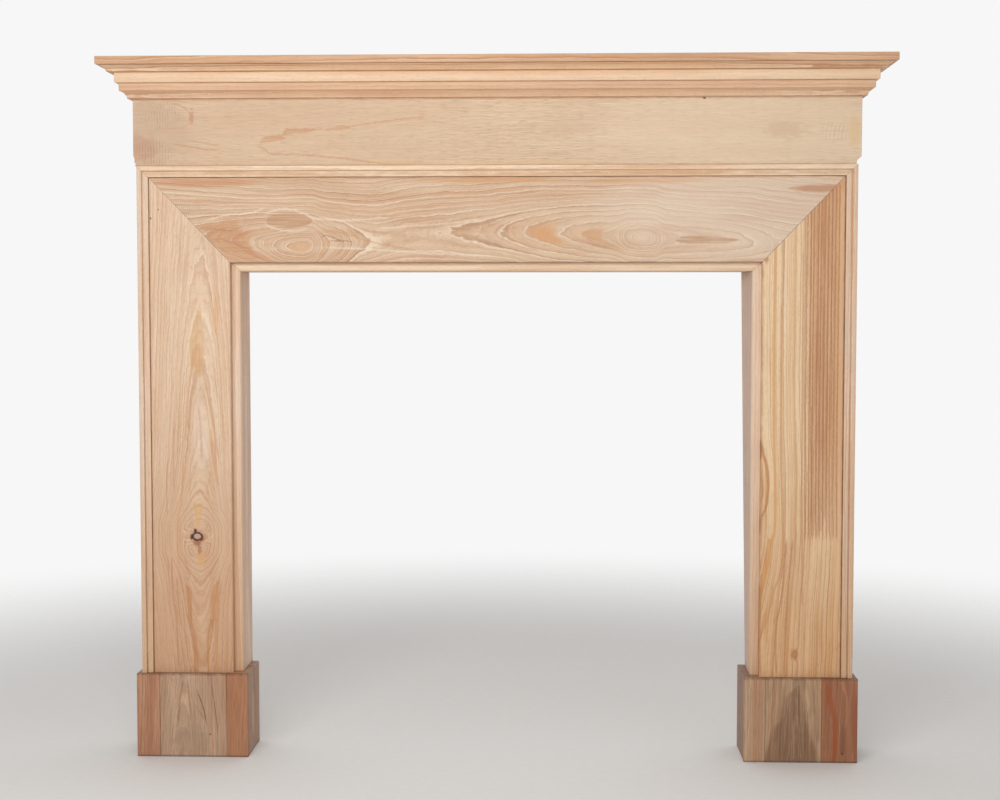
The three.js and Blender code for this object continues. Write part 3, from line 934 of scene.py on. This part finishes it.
    def right_leg(self) -> StrippedPine:
        """Gives the right leg's wood: bold upright stripes, yellow towards the opening and redder outside."""
        gold, rust, dark = "#d79d60", "#a56a49", "#a5662f"
        return StrippedPine(
            name="stripped_pine_right_leg", lay=Lay.STILE, face=self.face,
            early="#efd2ab", late="#b27444", blush="#ddb085", amber="#dba970", spring="#f3dfc2",
            fleck="#b5794e",
            pith=((165, 492), (400, 494), (1139, 494)),
            depth=((165, 60), (250, 58), (306, 54), (438, 38), (488, 36), (544, 36),
                   (600, 40), (660, 45), (900, 48), (1139, 48)),
            pitch=9.6, contrast=0.74, wobble=2.4, jitter=0.7, tone=0.3, bands=0.4, faint=0.42, pale=0.4,
            streaks=0.25, flecks=0.2, seed=8.0,
            marks=(
                # Painted shade: the leg darkens towards the plinth.
                ShadeTowardsFloor(700.0, PLINTH_HEIGHT, "#e8d4c0"),
                Growth((112, 400), (960, 700), (560, 190), "#f3e7df", 0.9, "MULTIPLY"),
                Growth((124, 400), (960, 700), (520, 190), "#f1e3d8", 0.75, "MULTIPLY"),
                Streak(((300, 668), (700, 667), (1120, 668)), 13.0, "#dfb68a", 0.55, 1.4),
                Tongue(((430, 620), (520, 608), (700, 612), (1000, 630)), ((430, 621),
                       (520, 648), (700, 648), (1000, 631)), "#b37b56", 0.5, 1.0, 6.0, 0.85),
                Streak(((330, 522), (430, 540), (490, 546), (560, 545), (640, 542), (900, 541),
                        (1080, 543)), 5.4, gold, 0.75, 0.5),
                Streak(((250, 525), (330, 543), (430, 561), (600, 556), (900, 554)),
                       4.4, "#c78d58", 0.6, 0.6),
                Streak(((300, 600), (640, 596), (1000, 595)), 3.4, "#c08a5c", 0.6, 0.6),
                *(Streak(((430, course + 1), (640, course - 1), (1130, course)), 2.8, rust, 0.55, 0.8)
                  for course in (603, 610, 616, 624, 630, 637, 644, 650, 657, 664)),
                Tongue(((480, 516), (510, 526), (544, 528), (577, 525), (600, 519), (640, 513)),
                       ((480, 523), (510, 533), (544, 535), (577, 532), (600, 526), (640, 515)),
                       "#c0824a", 0.85, 0.6, 1.6, 0.2),
                Tongue(((585, 510), (605, 510), (638, 512)), ((585, 516), (605, 520),
                       (638, 514.5)), dark, 0.85, 0.5, 1.6, 0.1),
                Tongue(((508, 517), (530, 519), (560, 517)), ((508, 519), (530, 523.5),
                       (560, 519)), "#bf8450", 0.8, 0.5, 1.4, 0.1),
                Tongue(((300, 510), (360, 518), (438, 532)), ((300, 520), (360, 529),
                       (438, 542)), "#c88a4c", 0.75, 0.6, 1.8, 0.4),
                Streak(((440, 515), (462, 516), (484, 519)), 5.0, dark, 0.7, 0.6),
                Streak(((228, 516), (270, 526), (310, 532)), 2.6, "#c8834c", 0.7, 0.6),
                Streak(((222, 515), (255, 521), (300, 527)), 2.6, "#c8834c", 0.7, 0.6),
                Streak(((165, 521), (230, 517), (320, 518), (350, 520)), 5.0, "#b87c48", 0.6, 0.8),
                Streak(((165, 551), (225, 549), (330, 560), (440, 569)), 3.6, "#b27748", 0.65, 0.6),
                Streak(((165, 565), (300, 570), (440, 580)), 3.6, "#b27748", 0.6, 0.6),
                # Painted shade: darker lines down the inner edge where the board steps down to the bead, and
                # down the outer edge beside the gap to the proud outer strip.
                Seam((PLINTH_HEIGHT, 518), (HEAD_FOOT, 518), 4.5, "#b07a50", 0.55),
                Seam((PLINTH_HEIGHT, 674), (HEAD_TOP, 674), 3.0, "#8f5534", 0.6),
                Blush((984, 524), (16, 6), "#a9683e", 0.6, 0.5),
                Seam((CASING_EDGE, HEAD_TOP), (BEAD_EDGE, HEAD_FOOT), 2.0, "#a87a55", 0.3),
                Knot((210, 586), (8, 5.4), "#a36338", "#c08858", "#b98052", 3.0, 2.6, 0.5),
            ),
        )

    def dress(self) -> None:
        """Dresses the boards, the outer strip and the inner bead."""
        CarriedBoard("casing_head", self.head(), 0.0004).dress()
        CarriedBoard("casing_left", self.left_leg(), 0.0004).dress()
        CarriedBoard("casing_right", self.right_leg(), 0.0004).dress()
        # Painted shade on the head strip's low step, under its proud outer strip.
        low_strip_shade = Seam((-699, 1146), (699, 1146), 7.5, "#c2956e", 0.6)
        strip = replace(
            LIGHT_STRIP, name="stripped_pine_strip", face=self.strip_face, seed=29.0, marks=(low_strip_shade,),
        )
        bead = replace(LIGHT_STRIP, name="stripped_pine_bead", face=self.bead_face, seed=33.0, contrast=0.4)
        for node, wood, early in (("band", strip, "#e2c7ae"), ("bead", bead, "#e8d0b9")):
            CarriedBoard(f"{node}_head", wood, 0.0004).dress()
            for side, middle in (("left", -690.0), ("right", 690.0)):
                upright = replace(
                    wood, name=f"{wood.name}_{side}", lay=Lay.STILE, seed=wood.seed + middle / 300,
                    # Painted shade: the uprights darken towards the plinths.
                    early=early, late="#c39573", contrast=0.6, marks=(ShadeTowardsFloor(700.0, PLINTH_HEIGHT, "#ebddcd"),),
                    pith=((165.0, middle * 0.93), (700.0, middle * 0.935), (1161.0, middle * 0.93)),
                    depth=((165, 50), (600, 58), (1161, 52)),
                )
                CarriedBoard(f"{node}_{side}", upright, 0.0004).dress()


@dataclass
class Linings:
    """The boards that line the opening and close the sides, planed once and darker than the front."""

    jamb_face: float = 500.0
    side_face: float = 694.0

    def plain(self, name: str, lay: Lay, face: float, seed: float, early: str = "#e0c3aa") -> StrippedPine:
        """Gives a lining board's wood: greyer, straight grained and a little rough."""
        return StrippedPine(
            name=name, lay=lay, face=face, early=early, late="#b18d78", blush="#cfae9c",
            pith=((0, 30), (600, 36), (1360, 26)), depth=((0, 45), (600, 52), (1360, 44)),
            pitch=6.0, contrast=0.6, wobble=4.0, tone=0.5, roughness=0.74, seed=seed,
        )

    def dress(self) -> None:
        """Dresses the jambs, the soffit and the side boards."""
        boards = {
            # The two jambs are one wood, the left coloured lighter and the right darker: painted light and
            # painted shade that offset how the key light falls across the opening.
            "jamb_left": self.plain("planed_pine_jamb_left", Lay.CHEEK_OUT, -self.jamb_face, 41.0, "#e6cbb8"),
            "jamb_right": self.plain("planed_pine_jamb_right", Lay.CHEEK_IN, self.jamb_face, 43.0, "#c9af9d"),
            "side_left": self.plain("planed_pine_side_left", Lay.CHEEK_IN, -self.side_face, 45.0),
            "side_right": self.plain("planed_pine_side_right", Lay.CHEEK_OUT, self.side_face, 47.0),
            "soffit": self.plain("planed_pine_soffit", Lay.UNDER, 957.0, 49.0),
        }
        for node, wood in boards.items():
            CarriedBoard(node, wood).dress()


@dataclass(frozen=True)
class Strip:
    """One upright facing strip of a plinth: where it starts and ends across, its colours and its marks."""

    start: float
    end: float
    early: str
    late: str
    blush: str
    heart: float
    marks: tuple[Mark, ...] = ()

    def edges(self) -> tuple[Mark, ...]:
        """Gives the grime along the floor, under the leg and in both joints."""
        grime = "#5a3c2c"
        return (
            Seam((0.0, self.start), (0.0, self.end), 5.0, "#3f2a20", 0.75),
            Seam((PLINTH_HEIGHT - 1, self.start), (PLINTH_HEIGHT - 1, self.end), 4.0, grime, 0.5),
            Seam((0.0, self.start), (PLINTH_HEIGHT, self.start), 1.8, grime, 0.3),
            Seam((0.0, self.end), (PLINTH_HEIGHT, self.end), 1.8, grime, 0.3),
        )


@dataclass
class Plinth:
    """One of the two boxed blocks at the floor, faced with three upright strips of darker pine."""

    side: str
    sign: int
    strips: dict[str, Strip]
    cheek: str
    face: float = -40.3
    outer: float = 707.0
    inner: float = 487.0

    def dress(self) -> None:
        """Dresses the strips, the cheeks and the top."""
        base = StrippedPine(
            name=f"rubbed_pine_plinth_{self.side}", lay=Lay.STILE, face=self.face,
            early="#b98f70", late="#8a5c40", blush="#a8795a", amber="#b0764f", fleck="#7d553c",
            pith=((0.0, self.sign * 560.0), (165.0, self.sign * 566.0)), depth=((0, 40), (165, 46)),
            pitch=5.6, contrast=0.62, wobble=4.0, tone=0.6, bands=0.6, faint=0.5, pale=0.12, spring="#cdaa8b",
            streaks=0.6, fibre=0.16, flecks=0.35, dash=(36, 1.6), seed=52.0 + self.sign,
        )
        for number, (letter, strip) in enumerate(self.strips.items()):
            wood = replace(
                base, name=f"{base.name}_{letter}", early=strip.early, late=strip.late, blush=strip.blush,
                pith=((0.0, strip.heart), (165.0, strip.heart + 4)), marks=strip.marks + strip.edges(),
                seed=base.seed + 3 * number,
            )
            CarriedBoard(f"plinth_{self.side}_face_{letter}", wood, 0.0004).dress()
        outside = Lay.CHEEK_IN if self.sign < 0 else Lay.CHEEK_OUT
        inside = Lay.CHEEK_OUT if self.sign < 0 else Lay.CHEEK_IN
        cheeks = {"outer": (outside, self.outer * self.sign), "inner": (inside, self.inner * self.sign)}
        for cheek, (lay, face) in cheeks.items():
            wood = replace(
                base, name=f"{base.name}_{cheek}", lay=lay, face=face, pith=((0, 20), (165, 24)),
                early=self.cheek, late="#755744", blush="#8a6c5a", spring="#b89d88", seed=base.seed + 11,
                marks=(Seam((0, -60), (0, 90), 5.0, "#3f2a20", 0.7),),
            )
            CarriedBoard(f"plinth_{self.side}_{cheek}", wood, 0.001).dress()
        top = replace(
            base, name=f"{base.name}_top", lay=Lay.DECK, face=PLINTH_HEIGHT, pith=((-710, 20), (710, 20)),
            depth=((-710, 40), (710, 44)),
        )
        CarriedBoard(f"plinth_{self.side}_top", top).dress()


def left_strips() -> dict[str, Strip]:
    """Gives the left plinth's strips: two reddish ones, and a grey-brown one with slanting shakes."""
    shake = "#74431f"
    return {
        "a": Strip(-707.0, -661.0, "#bb8b6d", "#875439", "#a56b4b", -590.0),
        "b": Strip(
            -661.0, -529.0, "#c4a184", "#8f6f57", "#ad8c70", -618.0,
            (
                Streak(((58, -567), (100, -576), (136, -589)), 2.2, shake, 0.8, 0.5),
                Streak(((40, -546), (90, -551), (150, -559)), 2.0, shake, 0.6, 0.6),
                Blush((45, -562), (2.6, 2.2), "#54392b", 0.8, 0.0),
                Streak(((70, -572), (92, -584), (110, -596)), 1.8, shake, 0.4, 0.8),
                Streak(((60, -626), (110, -622), (160, -612)), 3.0, "#8f6a4e", 0.55, 0.8),
                Streak(((60, -600), (110, -602), (160, -608)), 3.0, "#8f6a4e", 0.5, 0.8),
                Blush((30, -600), (40, 50), "#9a7a62", 0.4, 0.5),
            ),
        ),
        "c": Strip(-529.0, -487.0, "#b6835f", "#8d5b3d", "#a56d4c", -430.0),
    }


def right_strips() -> dict[str, Strip]:
    """Gives the right plinth's strips: a red-brown one, one with a dark flame, and a tan one."""
    rust, shade = "#a04a10", "#7a563c"
    return {
        "a": Strip(
            637.0, 707.0, "#a97350", "#713d25", "#8a5237", 760.0,
            (
                Tongue(((-20, 652), (27, 655), (66, 656), (107, 648), (142, 642), (160, 643)),
                       ((-20, 662), (27, 672), (66, 673), (107, 667), (142, 658), (160, 652)),
                       rust, 0.8, 1.6, 7.0, 0.7),
                Tongue(((60, 682), (100, 684), (160, 672)), ((60, 684), (100, 690),
                       (160, 682)), "#bd8a67", 0.55, 1.0, 3.0, 0.6),
                Tongue(((20, 672), (50, 673), (80, 676)), ((20, 684), (50, 684),
                       (80, 680)), "#6b4a3a", 0.6, 1.0, 3.0, 0.5),
                Blush((18, 678), (3.4, 3), "#4b2c1f", 0.85, 0.2),
                Blush((80, 702), (90, 8), "#8b4a30", 0.6, 0.3),
            ),
        ),
        "b": Strip(
            528.0, 637.0, "#bc9876", "#80604a", "#9f7d60", 590.0,
            (
                Tongue(((-20, 512), (21, 524), (66, 540), (93, 557), (127, 563), (141, 572),
                        (158, 592)),
                       ((-20, 644), (21, 634), (49, 623), (71, 618), (93, 609), (124, 606),
                        (141, 600), (158, 594)), shade, 0.8, 3.2, 12.0, 0.5),
                Streak(((60, 596), (100, 594), (160, 593)), 2.4, "#5a3e2e", 0.6, 0.8),
                Streak(((0, 574), (60, 572), (140, 576)), 2.0, "#664a38", 0.45, 0.9),
                Streak(((0, 608), (60, 606), (120, 604)), 2.0, "#664a38", 0.45, 0.9),
                Streak(((0, 556), (60, 558), (100, 562)), 2.0, "#5d4130", 0.45, 0.8),
            ),
        ),
        "c": Strip(
            487.0, 528.0, "#c4a080", "#93745c", "#ae8d70", 440.0,
            (Streak(((0, 500), (80, 499), (160, 501)), 2.0, "#7b5942", 0.4, 0.6),),
        ),
    }


@dataclass
class Studio:
    """The pale floor, the soft lights and the camera of the photograph."""

    lens: float = 59.49
    eye: tuple[float, float, float] = (0.1270, -3.2392, 0.8882)
    turn: tuple[float, float] = (86.767, 2.080)
    floor_half: float = 3.0
    floor_drop: float = 0.0004
    room: float = 0.34
    backdrop: float = 0.93
    key_watts: float = 37.0
    fill_watts: float = 4.0

    def floor(self) -> Object:
        """Lays a plain pale floor of matt paper that fades into the white round it, away from the object."""
        bpy.ops.mesh.primitive_plane_add(size=self.floor_half * 2, location=(0.0, 0.0, -self.floor_drop))
        sheet = bpy.context.active_object
        sheet.name = "studio_floor"
        material = bpy.data.materials.new("matt_paper_floor")
        material.use_nodes = True
        g = Graph(material.node_tree)
        shader = material.node_tree.nodes["Principled BSDF"]
        spot = g.add("TexCoord").outputs["Object"]
        pulp = g.add("TexNoise", {"Vector": spot, "Scale": 60.0, "Detail": 2.0})
        tint = g.mix(pulp, linear("#e6e4e1"), linear("#eceae7"))
        g.tree.links.new(tint, shader.inputs["Base Color"])
        shader.inputs["Roughness"].default_value = 0.9
        away = g.add("VectorMath", {0: spot}, operation="LENGTH").outputs[1]
        shown = g.fit(away, (1.0, self.floor_half * 0.95), (1.0, 0.0), True)
        g.tree.links.new(shown.outputs[0], shader.inputs["Alpha"])
        sheet.data.materials.append(material)
        return sheet

    def lamp(self, name: str, watts: float, size: Point, at: tuple, aim: tuple) -> Object:
        """Hangs one soft box.

        Args:
            name: the lamp's name.
            watts: its power.
            size: its width and height, in metres.
            at: where it hangs.
            aim: the point that it faces.

        Returns:
            The lamp.
        """
        data: Light = bpy.data.lights.new(name, "AREA")
        data.shape = "RECTANGLE"
        data.size, data.size_y = size
        data.energy = watts
        lamp = bpy.data.objects.new(name, data)
        bpy.context.scene.collection.objects.link(lamp)
        lamp.location = at
        reach = type(lamp.location)(aim) - lamp.location
        lamp.rotation_euler = reach.to_track_quat("-Z", "Y").to_euler()
        return lamp

    def sky(self) -> None:
        """Sets the surrounding light: a white backdrop behind the object and a dimmer room before it."""
        world = bpy.data.worlds.new("studio_white")
        bpy.context.scene.world = world
        world.use_nodes = True
        g = Graph(world.node_tree)
        heading = g.add("TexCoord").outputs["Generated"]
        depth = g.add("SeparateXYZ", {0: heading}).outputs[1]
        share = g.fit(depth, (-0.1, 0.6), (0.0, 1.0), True)
        room, backdrop = self.room, self.backdrop
        tint = g.mix(share, (room, room, room, 1.0), (backdrop, backdrop, backdrop, 1.0))
        g.tree.links.new(tint, world.node_tree.nodes["Background"].inputs["Color"])

    def camera(self) -> Object:
        """Sets up the camera at the photograph's place and turn."""
        data = bpy.data.cameras.new("camera")
        data.sensor_width = 36.0
        data.lens = self.lens
        camera = bpy.data.objects.new("camera", data)
        bpy.context.scene.collection.objects.link(camera)
        camera.location = self.eye
        camera.rotation_euler = (radians(self.turn[0]), 0.0, radians(self.turn[1]))
        bpy.context.scene.camera = camera
        return camera

    def build(self) -> None:
        """Builds the studio."""
        bpy.context.scene.view_settings.view_transform = "Standard"
        self.floor()
        self.lamp("key", self.key_watts, (1.8, 0.9), (-0.45, -2.3, 1.45), (0.0, 0.0, 1.1))
        self.lamp("fill", self.fill_watts, (1.6, 1.6), (2.0, -2.4, 1.3), (0.2, 0.0, 0.8))
        self.sky()
        self.camera()


def main() -> None:
    """Builds the studio and dresses every part of the mantelpiece."""
    logging.basicConfig(level=logging.INFO, format="%(message)s")
    bpy.ops.object.select_all(action="DESELECT")
    Studio().build()
    Cornice().dress()
    Frieze().dress()
    Surround().dress()
    Linings().dress()
    # Both plinths' cheeks are one wood, the right's coloured darker: painted shade that offsets the key light
    # falling on its inner cheek.
    Plinth("left", -1, left_strips(), "#be9b82").dress()
    Plinth("right", 1, right_strips(), "#947663").dress()


if __name__ == "__main__":
    main()
